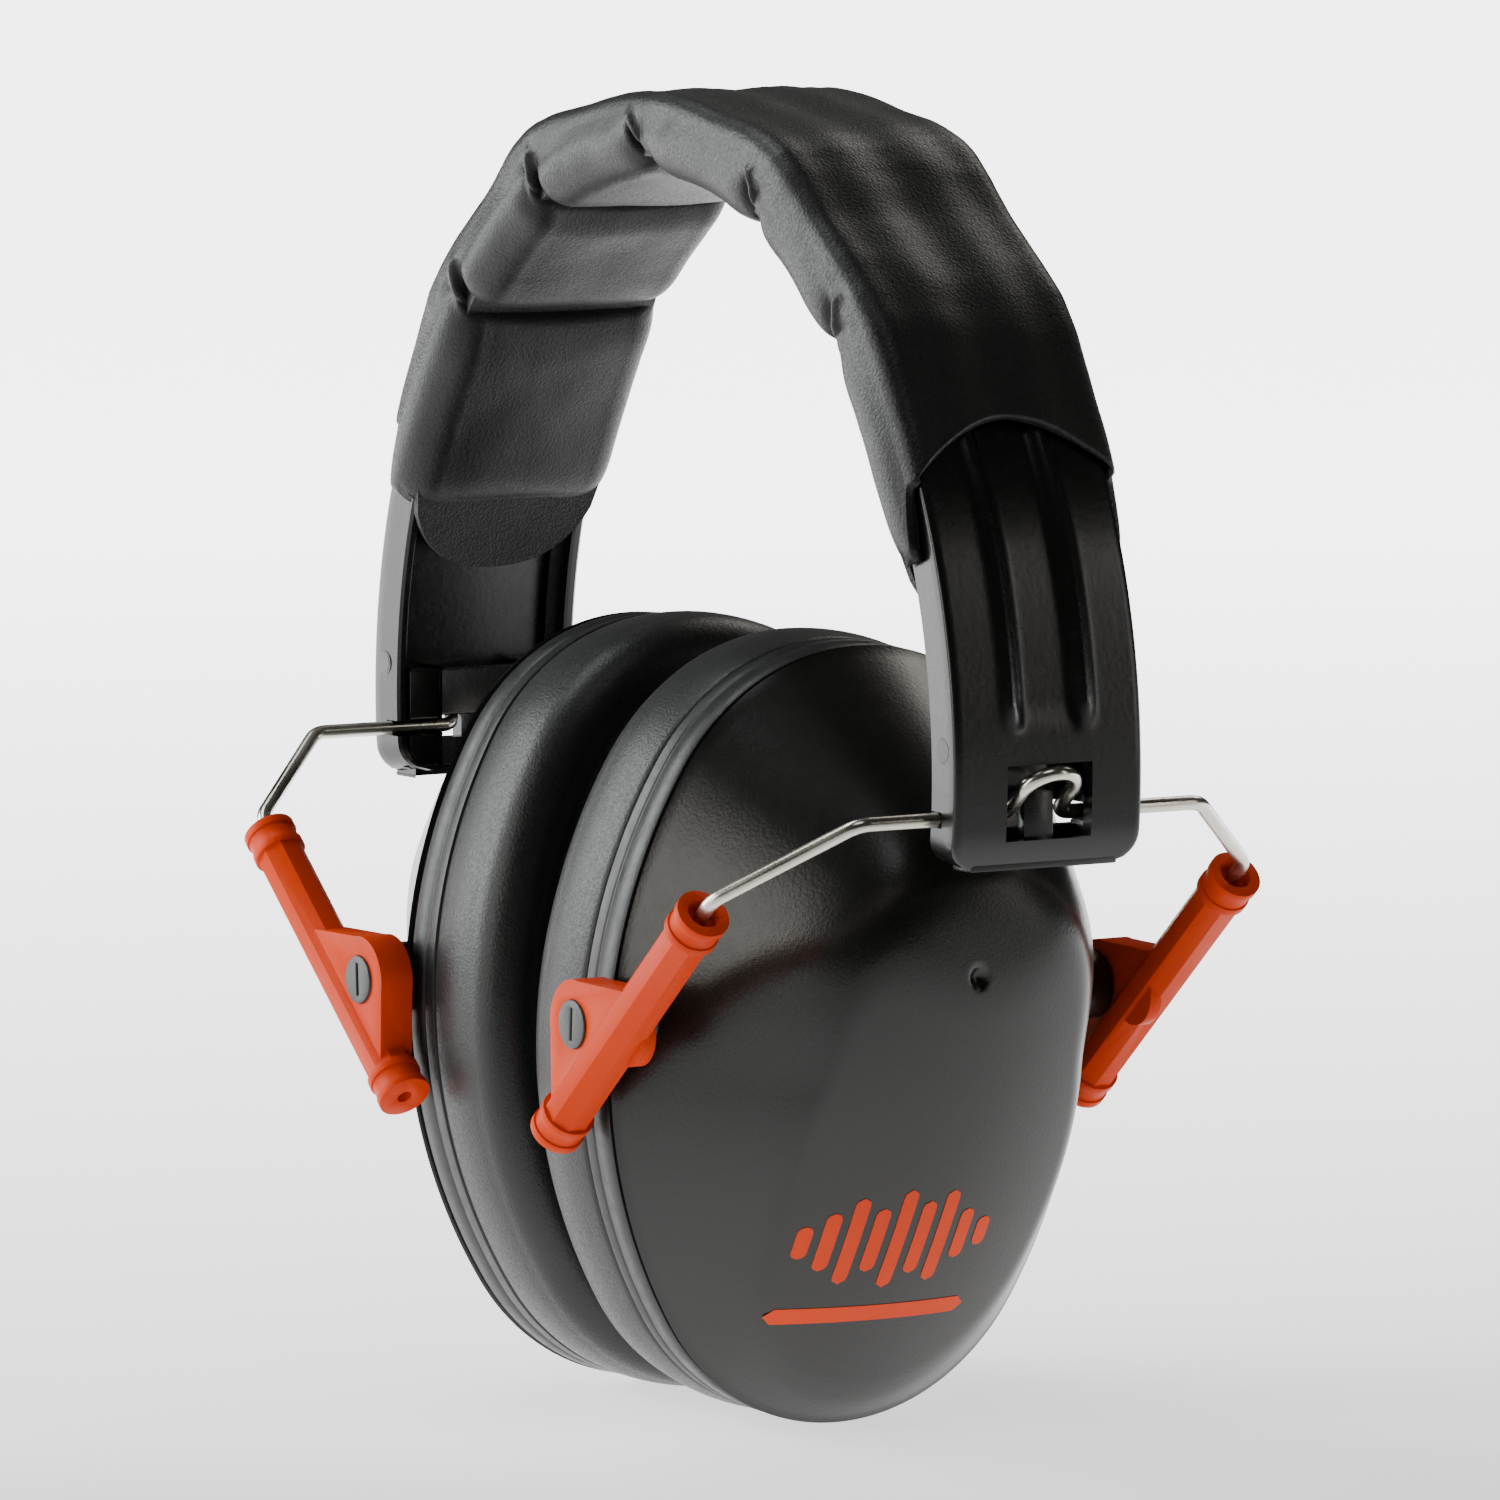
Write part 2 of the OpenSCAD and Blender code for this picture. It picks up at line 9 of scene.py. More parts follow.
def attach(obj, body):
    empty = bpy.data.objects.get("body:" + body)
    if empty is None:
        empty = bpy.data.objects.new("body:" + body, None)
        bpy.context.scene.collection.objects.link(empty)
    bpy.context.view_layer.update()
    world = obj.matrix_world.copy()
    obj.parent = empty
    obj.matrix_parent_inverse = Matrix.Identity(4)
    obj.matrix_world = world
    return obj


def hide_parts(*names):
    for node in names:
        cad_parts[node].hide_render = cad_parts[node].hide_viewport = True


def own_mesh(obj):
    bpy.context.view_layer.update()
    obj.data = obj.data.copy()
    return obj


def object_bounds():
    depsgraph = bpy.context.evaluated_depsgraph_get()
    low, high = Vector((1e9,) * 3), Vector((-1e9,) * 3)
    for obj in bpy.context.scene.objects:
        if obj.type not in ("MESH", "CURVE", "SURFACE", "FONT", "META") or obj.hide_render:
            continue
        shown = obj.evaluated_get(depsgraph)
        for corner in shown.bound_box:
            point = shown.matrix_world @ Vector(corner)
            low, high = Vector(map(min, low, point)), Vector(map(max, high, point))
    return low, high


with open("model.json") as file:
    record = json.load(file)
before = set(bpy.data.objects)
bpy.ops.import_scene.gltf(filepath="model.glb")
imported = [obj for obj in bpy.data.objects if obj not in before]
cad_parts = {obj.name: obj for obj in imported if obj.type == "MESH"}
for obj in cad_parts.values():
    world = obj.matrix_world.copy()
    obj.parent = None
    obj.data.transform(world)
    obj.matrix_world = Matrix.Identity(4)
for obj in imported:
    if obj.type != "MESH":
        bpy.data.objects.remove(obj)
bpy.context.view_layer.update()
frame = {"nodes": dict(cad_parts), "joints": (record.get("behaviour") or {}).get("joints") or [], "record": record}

MM = 0.001
SIDES = {"right": 1, "left": -1}
JOINTS = {joint["name"]: joint for joint in frame["joints"]}
HINGE = Vector(JOINTS["fold_right"]["pos_m"]) / MM
PIVOT = Vector(JOINTS["pin_turn_right"]["pos_m"]) / MM

# ---------- camera ----------

AZIMUTH = math.radians(57.85)
ELEVATION = math.radians(5.89)
DISTANCE = 1.4567
TARGET = Vector((0.00166, 0.0, -0.07913))


def make_camera():
    data = bpy.data.cameras.new("camera")
    data.sensor_width = 36
    data.lens = 254.9
    data.clip_end = 60
    camera = bpy.data.objects.new("camera", data)
    bpy.context.scene.collection.objects.link(camera)
    flat = math.cos(ELEVATION)
    away = Vector((math.sin(AZIMUTH) * flat, -math.cos(AZIMUTH) * flat, math.sin(ELEVATION)))
    camera.location = TARGET + DISTANCE * away
    camera.rotation_euler = away.to_track_quat("Z", "Y").to_euler()
    bpy.context.scene.camera = camera


make_camera()

# ---------- materials ----------


def new_material(name):
    material = bpy.data.materials.new(name)
    material.use_nodes = True
    nodes = material.node_tree.nodes
    return material, nodes, material.node_tree.links, nodes["Principled BSDF"]


def texture(nodes, links, kind, scale, coords, **values):
    node = nodes.new(kind)
    node.inputs["Scale"].default_value = scale
    for key, value in values.items():
        node.inputs[key].default_value = value
    links.new(coords.outputs["Object"], node.inputs["Vector"])
    return node


def ramp(nodes, links, source, low, high, start=0.35, end=0.65):
    node = nodes.new("ShaderNodeMapRange")
    node.inputs["From Min"].default_value = start
    node.inputs["From Max"].default_value = end
    node.inputs["To Min"].default_value = low
    node.inputs["To Max"].default_value = high
    links.new(source, node.inputs["Value"])
    return node


def tint(nodes, links, source, dark, light, start=0.3, end=0.7):
    node = nodes.new("ShaderNodeValToRGB")
    node.color_ramp.elements[0].position = start
    node.color_ramp.elements[0].color = (*dark, 1)
    node.color_ramp.elements[1].position = end
    node.color_ramp.elements[1].color = (*light, 1)
    links.new(source, node.inputs["Fac"])
    return node


def bump(nodes, links, height, distance, strength, before=None):
    node = nodes.new("ShaderNodeBump")
    node.inputs["Distance"].default_value = distance
    node.inputs["Strength"].default_value = strength
    links.new(height, node.inputs["Height"])
    if before:
        links.new(before.outputs["Normal"], node.inputs["Normal"])
    return node


def leather(name, dark, light, cell, grain, rough):
    """Pebbled leatherette: cells divided by fine valleys, with soft creasing and uneven shine."""
    material, nodes, links, shader = new_material(name)
    coords = nodes.new("ShaderNodeTexCoord")
    pebbles = texture(nodes, links, "ShaderNodeTexVoronoi", 1 / cell, coords, Randomness=0.9)
    pebbles.feature = "SMOOTH_F1"
    pebbles.inputs["Smoothness"].default_value = 0.35
    fine = texture(nodes, links, "ShaderNodeTexNoise", 2.6 / cell, coords, Detail=3.0)
    broad = texture(nodes, links, "ShaderNodeTexNoise", 70, coords, Detail=4.0)
    first = bump(nodes, links, pebbles.outputs["Distance"], cell * 0.35, -grain)
    second = bump(nodes, links, fine.outputs["Fac"], cell * 0.25, grain * 0.7, first)
    third = bump(nodes, links, broad.outputs["Fac"], 0.0008, 0.12, second)
    links.new(third.outputs["Normal"], shader.inputs["Normal"])
    colour = tint(nodes, links, broad.outputs["Fac"], dark, light)
    links.new(colour.outputs["Color"], shader.inputs["Base Color"])
    shine = ramp(nodes, links, fine.outputs["Fac"], rough - 0.07, rough + 0.1)
    links.new(shine.outputs["Result"], shader.inputs["Roughness"])
    shader.inputs["Specular IOR Level"].default_value = 0.4
    shader.inputs["Sheen Weight"].default_value = 0.04
    shader.inputs["Sheen Roughness"].default_value = 0.5
    return material


def plastic(name, dark, light, grain, grain_size, rough, coat=0.0, level=0.5, uneven=0.05):
    """Moulded plastic with a spark-eroded or polished surface, faint handling marks and flow."""
    material, nodes, links, shader = new_material(name)
    coords = nodes.new("ShaderNodeTexCoord")
    fine = texture(nodes, links, "ShaderNodeTexNoise", 1 / grain_size, coords, Detail=2.0)
    broad = texture(nodes, links, "ShaderNodeTexNoise", 45, coords, Detail=5.0)
    marks = texture(nodes, links, "ShaderNodeTexNoise", 260, coords, Detail=6.0, Distortion=1.5)
    surface = bump(nodes, links, fine.outputs["Fac"], grain_size * 0.4, grain)
    links.new(surface.outputs["Normal"], shader.inputs["Normal"])
    colour = tint(nodes, links, broad.outputs["Fac"], dark, light)
    links.new(colour.outputs["Color"], shader.inputs["Base Color"])
    shine = ramp(nodes, links, marks.outputs["Fac"], rough - uneven, rough + uneven)
    links.new(shine.outputs["Result"], shader.inputs["Roughness"])
    shader.inputs["Specular IOR Level"].default_value = level
    shader.inputs["Coat Weight"].default_value = coat
    shader.inputs["Coat Roughness"].default_value = 0.15
    return material


def steel(name):
    """Drawn nickel-plated spring wire with fine scratches."""
    material, nodes, links, shader = new_material(name)
    coords = nodes.new("ShaderNodeTexCoord")
    fine = texture(nodes, links, "ShaderNodeTexNoise", 2400, coords, Detail=3.0)
    broad = texture(nodes, links, "ShaderNodeTexNoise", 90, coords, Detail=3.0)
    surface = bump(nodes, links, fine.outputs["Fac"], 0.00004, 0.25)
    links.new(surface.outputs["Normal"], shader.inputs["Normal"])
    colour = tint(nodes, links, broad.outputs["Fac"], (0.66, 0.62, 0.54), (0.80, 0.76, 0.68))
    links.new(colour.outputs["Color"], shader.inputs["Base Color"])
    shine = ramp(nodes, links, broad.outputs["Fac"], 0.2, 0.32)
    links.new(shine.outputs["Result"], shader.inputs["Roughness"])
    shader.inputs["Metallic"].default_value = 1.0
    return material


def fabric(name, dark, light, cell, rough=0.9):
    """Open foam or knitted lining: small open cells over an uneven tone."""
    material, nodes, links, shader = new_material(name)
    coords = nodes.new("ShaderNodeTexCoord")
    cells = texture(nodes, links, "ShaderNodeTexVoronoi", 1 / cell, coords)
    broad = texture(nodes, links, "ShaderNodeTexNoise", 120, coords, Detail=4.0)
    surface = bump(nodes, links, cells.outputs["Distance"], cell * 0.5, 0.8)
    links.new(surface.outputs["Normal"], shader.inputs["Normal"])
    colour = tint(nodes, links, broad.outputs["Fac"], dark, light)
    links.new(colour.outputs["Color"], shader.inputs["Base Color"])
    shine = ramp(nodes, links, cells.outputs["Distance"], rough - 0.1, rough + 0.05, 0.0, 1.0)
    links.new(shine.outputs["Result"], shader.inputs["Roughness"])
    shader.inputs["Sheen Weight"].default_value = 0.2
    return material


LOOKS = {
    "leatherette": leather("leatherette", (0.003, 0.0036, 0.0033), (0.006, 0.0067, 0.006),
                           0.0011, 0.5, 0.4),
    "cushion": leather("cushion_leatherette", (0.006, 0.0068, 0.0066), (0.010, 0.011, 0.0106),
                       0.0010, 0.4, 0.38),
    "band": plastic("band_plastic", (0.003, 0.003, 0.0026), (0.0045, 0.0045, 0.004),
                    0.06, 0.0009, 0.26, coat=0.2, uneven=0.02),
    "shell": plastic("shell_plastic", (0.0046, 0.0044, 0.0036), (0.0064, 0.0061, 0.005),
                     0.14, 0.0005, 0.29, uneven=0.012),
    "plate": plastic("plate_plastic", (0.008, 0.0086, 0.0086), (0.012, 0.0126, 0.0126),
                     0.2, 0.0005, 0.42),
    "orange": plastic("orange_plastic", (0.60, 0.034, 0.0004), (0.66, 0.044, 0.0008),
                      0.12, 0.0008, 0.42, level=0.1),
    "print": plastic("orange_print", (0.66, 0.038, 0.0006), (0.72, 0.05, 0.001),
                     0.15, 0.0004, 0.5, level=0.2),
    "pin": plastic("pin_plastic", (0.030, 0.031, 0.032), (0.045, 0.046, 0.047),
                   0.3, 0.0005, 0.42),
    "wire": steel("spring_wire"),
    "foam": fabric("foam", (0.02, 0.02, 0.022), (0.045, 0.045, 0.048), 0.0009),
    "liner": fabric("liner_fabric", (0.004, 0.004, 0.004), (0.007, 0.0068, 0.0064), 0.0004, 0.75),
}

# ---------- meshes ----------


def mesh_piece(name, points, faces, look, body, smooth=180.0):
    """A mesh piece from points in millimetres, in the row frame."""
    mesh = bpy.data.meshes.new(name)
    mesh.from_pydata([tuple(c * MM for c in p) for p in points], [], faces)
    tidy = bmesh.new()
    tidy.from_mesh(mesh)
    bmesh.ops.remove_doubles(tidy, verts=tidy.verts, dist=1e-7)
    bmesh.ops.recalc_face_normals(tidy, faces=tidy.faces)
    sharp = math.radians(smooth)
    for edge in tidy.edges:
        edge.smooth = len(edge.link_faces) == 2 and edge.calc_face_angle(0) < sharp
    for face in tidy.faces:
        face.smooth = True
    tidy.to_mesh(mesh)
    tidy.free()
    mesh.materials.append(LOOKS[look])
    piece = bpy.data.objects.new(name, mesh)
    bpy.context.scene.collection.objects.link(piece)
    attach(piece, body)
    return piece


def ring_faces(rings, size, closed):
    """Quads between each ring of points and the next one."""
    faces = []
    for i in range(rings if closed else rings - 1):
        a, b = i * size, ((i + 1) % rings) * size
        for k in range(size):
            n = (k + 1) % size
            faces.append((a + k, a + n, b + n, b + k))
    return faces


def applied(piece):
    """Bakes the piece's modifiers into its mesh."""
    graph = bpy.context.evaluated_depsgraph_get()
    mesh = bpy.data.meshes.new_from_object(piece.evaluated_get(graph))
    piece.modifiers.clear()
    piece.data = mesh


def bevelled_copy(node, look, width, angle=28.0):
    """A copy of a CAD node with its edges rounded."""
    source = frame["nodes"][node]
    mesh = source.data.copy()
    work = bmesh.new()
    work.from_mesh(mesh)
    bmesh.ops.remove_doubles(work, verts=work.verts, dist=2e-6)
    bmesh.ops.dissolve_limit(work, angle_limit=math.radians(0.6), verts=work.verts,
                             edges=work.edges)
    work.to_mesh(mesh)
    work.free()
    mesh.materials.clear()
    mesh.materials.append(LOOKS[look])
    piece = bpy.data.objects.new(node + "_look", mesh)
    bpy.context.scene.collection.objects.link(piece)
    rounding = piece.modifiers.new("rounding", "BEVEL")
    rounding.width = width
    rounding.segments = 2
    rounding.limit_method = "ANGLE"
    rounding.angle_limit = math.radians(angle)
    rounding.use_clamp_overlap = True
    rounding.harden_normals = False
    applied(piece)
    work = bmesh.new()
    work.from_mesh(piece.data)
    for face in work.faces:
        face.smooth = True
    for edge in work.edges:
        edge.smooth = len(edge.link_faces) == 2 and edge.calc_face_angle(0) < math.radians(35)
    work.to_mesh(piece.data)
    work.free()
    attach(piece, body_of[node])
    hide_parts(node)


body_of = {node: body for body, members in frame["record"]["behaviour"]["bodies"].items()
           for node in members}

# ---------- arch ----------

CROWN = -HINGE.z
TOP_R = 67.0
SIDE_R = 92.0
HALF_SPAN = 75.7
ARCH_TURN = math.asin((SIDE_R - HALF_SPAN) / (SIDE_R - TOP_R))
TOP_Z = CROWN - TOP_R + 9.5
SIDE_X = -(SIDE_R - TOP_R) * math.sin(ARCH_TURN)
SIDE_Z = TOP_Z - (SIDE_R - TOP_R) * math.cos(ARCH_TURN)


def arch(degrees, out):
    """Point of the arch at an angle from straight up, out from the band's outer face."""
    a = abs(math.radians(degrees))
    side = 1 if degrees >= 0 else -1
    if a <= ARCH_TURN:
        x, z = (TOP_R + out) * math.sin(a), TOP_Z + (TOP_R + out) * math.cos(a)
    else:
        x, z = SIDE_X + (SIDE_R + out) * math.sin(a), SIDE_Z + (SIDE_R + out) * math.cos(a)
    return side * x, z - CROWN


def eased(x, table):
    """Smooth interpolation in a short list of (position, value) pairs."""
    for (x0, v0), (x1, v1) in zip(table, table[1:]):
        if x <= x1:
            t = min(max((x - x0) / (x1 - x0), 0.0), 1.0)
            return v0 + (v1 - v0) * t * t * (3 - 2 * t)
    return table[-1][1]


# ---------- headband cover ----------

CREASES = (0.0, 28.0, 49.0)
PAD_END = 71.0
COVER_HALF = 16.4
OUTER = 1.9
# how far the cover's outer face stands off its even curve, where the pads' corners push it out
OUTLINE = ((0, 0.1), (13, -0.1), (27, 1.9), (39, 0.1), (50, 1.3), (60, 0.0), (72, -0.9))
# the cover's end in degrees: at the middle of its outer face, at the top of its side wall, and
# how far each slants from there
END_MIDDLE = 59.6
END_SIDE = 64.8
END_SLANT = 5.2
# the rings follow the cover's slanting end from this angle on
EVEN_TO = 54.0
# how the creases climb the side wall, in millimetres climbed from the inner face
HOOK_SHIFT = 3.1
HOOK_CLIMB = 8.4
CREASE_FADE = ((4.6, 0.0), (8.8, 1.0))
LIP_RISE = ((2.0, 0.0), (6.0, 1.0))
LIP_FADE = ((8.4, 0.0), (11.0, 1.0))
CREASE_DEEP = 2.0


def cover_section():
    """Points round the cover: y, out, outward direction, share of the side wall's height, and
    the way climbed from the inner face."""
    outer_r, inner_r, inner = 3.0, 4.6, -7.6
    far = 20.0
    points = []
    for i in range(19):
        points.append((-(COVER_HALF - outer_r) + (COVER_HALF - outer_r) * i / 9, OUTER, 0, 1, 1.0,
                       far))
    for i in range(1, 6):
        t = math.radians(90 - 90 * i / 6)
        points.append((COVER_HALF - outer_r + outer_r * math.cos(t),
                       OUTER - outer_r + outer_r * math.sin(t), math.cos(t), math.sin(t), 1.0,
                       far))
    low, high = inner + inner_r, OUTER - outer_r
    corner = inner_r * math.pi / 2
    for i in range(7):
        up = 1 - i / 6
        points.append((COVER_HALF, low + (high - low) * up, 1, 0, up, corner + (high - low) * up))
    for i in range(1, 24):
        t = math.radians(-90 * i / 24)
        points.append((COVER_HALF - inner_r + inner_r * math.cos(t),
                       inner + inner_r + inner_r * math.sin(t), math.cos(t), math.sin(t), 0.0,
                       corner * (1 - i / 24)))
    flat = COVER_HALF - inner_r
    walls = points[19:]
    for i in range(19):
        points.append((flat - flat * i / 9, inner, 0, -1, 0.0, 0.0))
    return points + [(-p[0], p[1], -p[2], p[3], p[4], p[5]) for p in reversed(walls)]


def crease_shift(climb, across):
    """Shift of a crease along the arch: it hooks towards the crown as it climbs the side wall."""
    hook = HOOK_SHIFT * (min(climb, 9.0) / HOOK_CLIMB) ** 1.8
    return 0.5 * (1 - (across / COVER_HALF) ** 2) - hook


def cover_angles():
    """Angles of the cover's rings, closest together at the creases and their hooks."""
    angles = [-PAD_END]
    while angles[-1] < PAD_END:
        a = angles[-1]
        fine = -4.4 < a < 1.8 or any(c - 4.4 < abs(a) < c + 1.8 for c in CREASES[1:])
        angles.append(min(PAD_END, a + (0.12 if fine else 0.5)))
    return angles


def cover_point(a, section):
    """Point of the cover's outside, with its pillows, creases and soft unevenness."""
    y, d, ny, nd, up, climb = section
    size = abs(a)
    # pillows between the creases
    stops = CREASES + (PAD_END,)
    bulge = 0.0
    for low, high in zip(stops, stops[1:]):
        if low <= size <= high:
            s = 2 * (size - low) / (high - low) - 1
            bulge = (1 - abs(s) ** 5) ** 0.8
    across = abs(y) / COVER_HALF
    push = (1.9 + 1.0 * (1 - across ** 2.5)) * bulge * max(0.0, -nd)
    push += 0.7 * bulge * (1 - up) * abs(ny) if nd < 0.05 else 0.0
    # the creases themselves: a narrow fold with a soft shoulder, which ends in a curl on the wall
    shift = crease_shift(climb, y)
    deep = 1 - eased(climb, CREASE_FADE)
    lip = 0.75 * eased(climb, LIP_RISE) * (1 - eased(climb, LIP_FADE))
    for crease in CREASES:
        for sign in ((1, -1) if crease else (1,)):
            off = (a - sign * (crease + shift)) * 1.25 * sign
            # the pad nearer the crown rolls over the fold, the other one meets it squarely
            crownward = off < 0 if a * sign >= 0 else off > 0
            narrow = math.exp(-abs(off / (0.95 if crownward else 0.55)) ** 1.7)
            broad = math.exp(-(off / (2.4 if crownward else 3.4)) ** 2)
            push -= (CREASE_DEEP * narrow + (0.75 - 0.4 * abs(ny)) * broad) * deep
            push += lip * math.exp(-((off - 1.5) / 0.85) ** 2)
    # outer face: chords between the creases and the shadow of the band's ribs
    if nd > 0.05:
        push += eased(size, OUTLINE) * nd
        push += nd * (-0.32 * math.exp(-(y / 3.2) ** 2)
                      + 0.18 * math.exp(-((abs(y) - 6) / 2.8) ** 2))
        push -= nd * 0.2 * math.exp(-((abs(y) - 11) / 3.0) ** 2)
    else:
        push += 0.35 * eased(size, OUTLINE) * up
    seed = Vector((a * 0.11, y * 0.11, d * 0.13 + (7.0 if nd > 0.05 else 0.0)))
    calm = 0.45 if nd > 0.05 else 1.0
    push += calm * (0.22 * noise.noise(seed * 1.1) + 0.05 * noise.noise(seed * 3.1))
    ripple = noise.noise(Vector((a * 0.35, y * 0.09, d * 0.12 + 3.0)))
    near = max(math.exp(-((size - c) / 6.0) ** 2) for c in CREASES)
    push += 0.22 * ripple * near
    x, z = arch(a, d + nd * push)
    return (x, y + ny * push, z)


def cover_end(section):
    """Angle at which the cover ends, at a point of its section."""
    y, _, ny, nd, up, _ = section
    across = abs(y) / COVER_HALF
    if nd > 0.05:
        return END_MIDDLE + END_SLANT * across ** 1.7
    if abs(ny) > 0.9:
        return END_SIDE + END_SLANT * (1 - up) ** 1.3
    return PAD_END - 2.2 * across ** 6


def inside_point(a, section):
    """Point of the sleeve's inside, which hugs the band."""
    y, d, ny, nd, _, _ = section
    half = 15.15
    inner_y = max(-half, min(half, y * half / (COVER_HALF - 1.0)))
    out = 0.75 if nd > 0.05 else (-6.9 if nd < -0.05 else max(-6.9, min(0.6, d)))
    if abs(ny) > 0.3 and nd > 0.05:
        out = 0.7
    x, z = arch(a, out)
    return (x, inner_y, z)


def make_cover():
    sections = cover_section()
    count = len(sections)
    rings = []
    for a in cover_angles():
        beyond = max(0.0, abs(a) - EVEN_TO) / (PAD_END - EVEN_TO)
        ring = []
        for s in sections:
            size = min(abs(a), EVEN_TO) + beyond * (cover_end(s) - EVEN_TO)
            ring.append(cover_point(math.copysign(size, a), s))
        rings.append(ring)

    def cap(sign):
        made = []
        for turn in (0.25, 0.5, 0.75, 1.0):
            ring = []
            for s in sections:
                lip = 0.55 if s[3] > 0.05 else 2.2 - 1.2 * s[4]
                swing = math.sin(turn * math.pi / 2)
                end = cover_end(s)
                outside = Vector(cover_point(sign * (end + 0.5 * lip * swing), s))
                inside = Vector(inside_point(sign * (end + 0.5 * lip * swing), s))
                share = 1 - math.cos(turn * math.pi / 2)
                ring.append(tuple(outside.lerp(inside, share)))
            made.append(ring)
        return made

    rings += cap(1)
    for i in range(61):
        u = 1 - 2 * i / 60
        rings.append([inside_point(u * (cover_end(s) - 0.5), s) for s in sections])
    rings += list(reversed(cap(-1)))
    points = [p for ring in rings for p in ring]
    piece = mesh_piece("headband_padding", points, ring_faces(len(rings), count, True),
                       "leatherette", "headband")
    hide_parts("headband_cover", *["headband_pad_%d" % n for n in range(1, 7)])


make_cover()

# ---------- liner ----------


def make_liner():
    """The lining's rounded tongue that shows below the last pad on each side."""
    half, thick, out = 15.3, 1.1, -7.9
    start, corner, reach = 60, 68.6, 9.6
    across, along = 32, 40
    row = across + 1
    size = (along + 1) * row
    rim = ([j for j in range(row)] + [i * row + across for i in range(1, along + 1)]
           + [along * row + j for j in range(across - 1, -1, -1)]
           + [i * row for i in range(along - 1, 0, -1)])
    points, faces = [], []
    for side in SIDES.values():
        base = len(points)
        for layer in (0, 1):
            for i in range(along + 1):
                for j in range(across + 1):
                    share = 2 * j / across - 1
                    end = corner + reach * math.sqrt(max(0.0, 1 - abs(share) ** 2.3))
                    a = start + (end - start) * i / along
                    lift = 0.16 * noise.noise(Vector((a * 0.3, share * 3, 1.5 + side)))
                    drop = 1.6 * max(0.0, (a - 70) / 8) * (1 - share ** 2)
                    x, z = arch(side * a, out + layer * thick + lift + drop)
                    points.append((x, half * share, z))
        for i in range(along):
            for j in range(across):
                a = base + i * row + j
                faces.append((a, a + 1, a + row + 1, a + row))
                faces.append((size + a, size + a + row, size + a + row + 1, size + a + 1))
        for k, a in enumerate(rim):
            b = rim[(k + 1) % len(rim)]
            faces.append((base + a, base + b, base + size + b, base + size + a))
    piece = mesh_piece("headband_lining", points, faces, "liner", "headband", 60)
    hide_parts("headband_liner")


make_liner()

# ---------- band ----------

BAND_HALF = 14.8
BAND_END = 97.5
BAND_DEEP = 6.5
BAND_WALL = 2.0
WINDOW_HALF = 6.7
NOTCH_HALF = 1.08
# bearing blocks beside the window: their ends across the band, and how far they keep off the hinge
BLOCK_Y = (7.3, 12.6)
BLOCK_OFF = 1.15
BLOCK_LOW = 5.6
BLOCK_HIGH = 8.2
# walls behind the wire's kink
BACK_HALF = 7.6
BACK_OFF = 1.6


def band_outer(a, y):
    """Height of the band's outer face: two soft ribs with a trough between them."""
    fade = min(1.0, max(0.0, (86.5 - abs(a)) / 3.0))
    fade = fade * fade * (3 - 2 * fade)
    spread = 4.6 + 0.5 * min(1.0, abs(a) / 80)
    rib = 0.55 * math.exp(-((abs(y) - spread - 0.7) / 0.95) ** 2)
    trough = -0.75 / (1 + math.exp((abs(y) - spread + 0.55) / 0.32))
    return fade * (rib + trough)


def band_section(a, squeeze):
    """Closed channel section at an angle; squeeze narrows it near its rounded bottom corners."""
    half = BAND_HALF - squeeze
    bead = 0.75
    points = []
    for i in range(49):
        y = -(half - bead) + 2 * (half - bead) * i / 48
        points.append((y, band_outer(a, y)))
    for i in range(1, 5):
        t = math.radians(90 - 90 * i / 4)
        points.append((half - bead + bead * math.cos(t), -bead + bead * math.sin(t)))
    draft = 0.35
    lip = 0.35
    for d in (-2.2, -3.6, -5.0, -BAND_DEEP + lip):
        points.append((half + draft * (d + bead) / BAND_DEEP, d))
    inner = half - draft - BAND_WALL + 0.5
    points.append((half - draft - lip, -BAND_DEEP))
    points.append((inner + lip, -BAND_DEEP))
    points.append((inner, -BAND_DEEP + lip))
    for d in (-4.6, -3.2):
        points.append((inner, d))
    points.append((inner - 0.6, -BAND_WALL))
    rest = []
    for i in range(1, 12):
        rest.append((inner - 0.6 - 2 * (inner - 0.6) * i / 12, -BAND_WALL))
    mirrored = [(-y, d) for y, d in reversed(points[49:])]
    return points + rest + mirrored


def cutter(low, high):
    """A box in millimetres, row frame, that cuts the band."""
    mesh = bpy.data.meshes.new("cutter")
    box = bmesh.new()
    bmesh.ops.create_cube(box, size=1.0)
    for vert in box.verts:
        vert.co = Vector([(low[i] + high[i]) / 2 + vert.co[i] * (high[i] - low[i])
                          for i in range(3)]) * MM
    box.to_mesh(mesh)
    box.free()
    piece = bpy.data.objects.new("cutter", mesh)
    bpy.context.scene.collection.objects.link(piece)
    return piece


